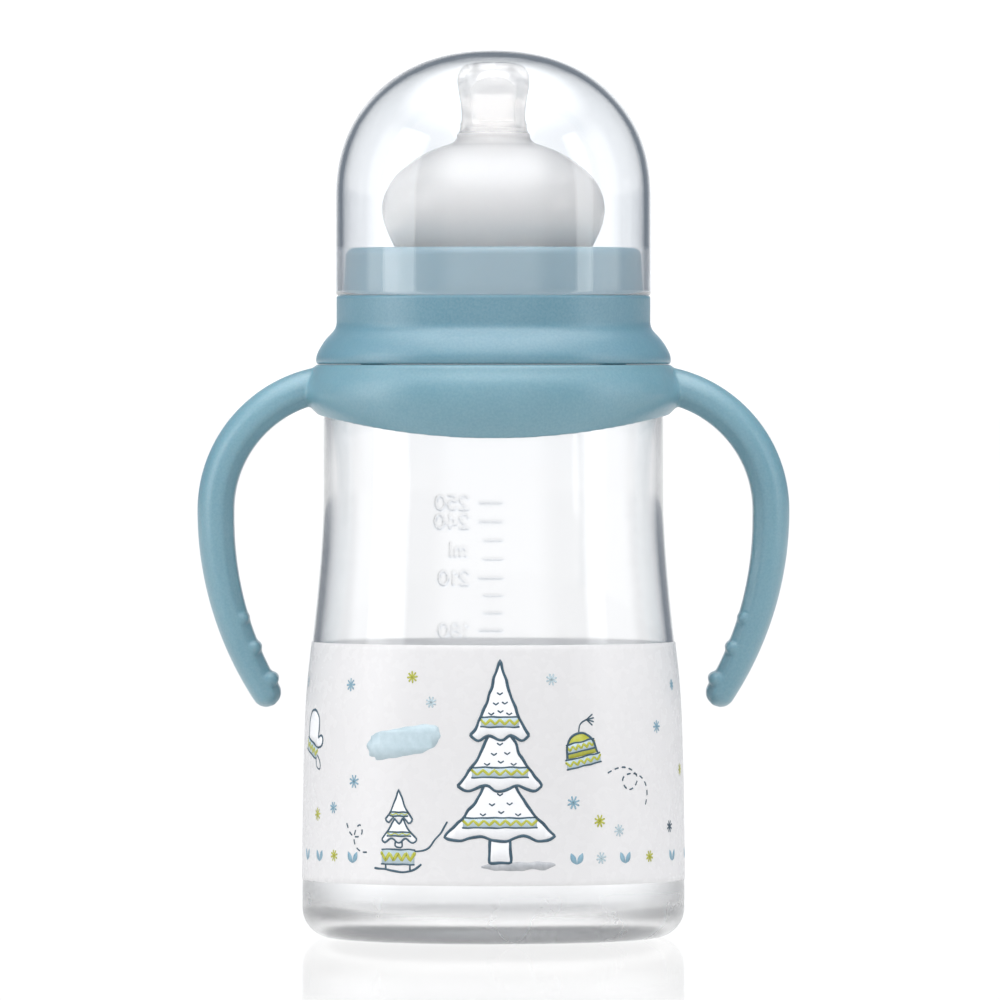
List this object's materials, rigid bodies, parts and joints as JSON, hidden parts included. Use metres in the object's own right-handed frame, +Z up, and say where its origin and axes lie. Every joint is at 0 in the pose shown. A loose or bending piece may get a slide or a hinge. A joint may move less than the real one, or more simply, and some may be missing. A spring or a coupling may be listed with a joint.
{
  "type": "baby bottle",
  "caption": "Wide-neck baby bottle with a swivelling handle ring, a silicone teat held by a screw collar, a clear push-on dome cap and a printed film band.",
  "frame": {"origin": "centre of the base, on the surface that the bottle stands on", "axes": "+Z up along the bottle's axis; X through the two handles; -Y the front, +Y the wall with the raised volume scale"},
  "size_m": [0.1084, 0.0702, 0.1625],
  "materials": {
    "clear_bottle": "clear polypropylene, glossy",
    "clear_cap": "clear polypropylene, glossy",
    "print_film": "translucent white printed film",
    "blue_handles": "dusty blue, satin",
    "blue_collar": "dusty blue, satin",
    "silicone": "milky translucent silicone, satin"
  },
  "bodies": {
    "bottle": {"bottle_body": "clear_bottle", "print_sleeve": "print_film"},
    "handles": {"handle_ring": "blue_handles"},
    "teat_body": {"teat": "silicone"},
    "collar": {"screw_collar": "blue_collar"},
    "cap": {"dome_cap": "clear_cap"}
  },
  "joints": [
    {"name": "handle_swivel", "type": "hinge", "parent": "bottle", "child": "handles", "pos_m": [0, 0, 0.104], "axis": [0, 0, 1], "continuous": true},
    {"name": "teat_lift", "type": "slide", "parent": "bottle", "child": "teat_body", "axis": [0, 0, 1], "range_m": [0, 0.0063]},
    {"name": "collar_turn", "type": "hinge", "parent": "teat_body", "child": "collar", "pos_m": [0, 0, 0.115], "axis": [0, 0, 1], "range_deg": [0, 450]},
    {"name": "cap_lift", "type": "slide", "parent": "collar", "child": "cap", "axis": [0, 0, 1], "range_m": [0, 0.06]}
  ],
  "couplings": [
    {"joint": "teat_lift", "follows": "collar_turn", "m_per_rad": 0.00079577}
  ]
}
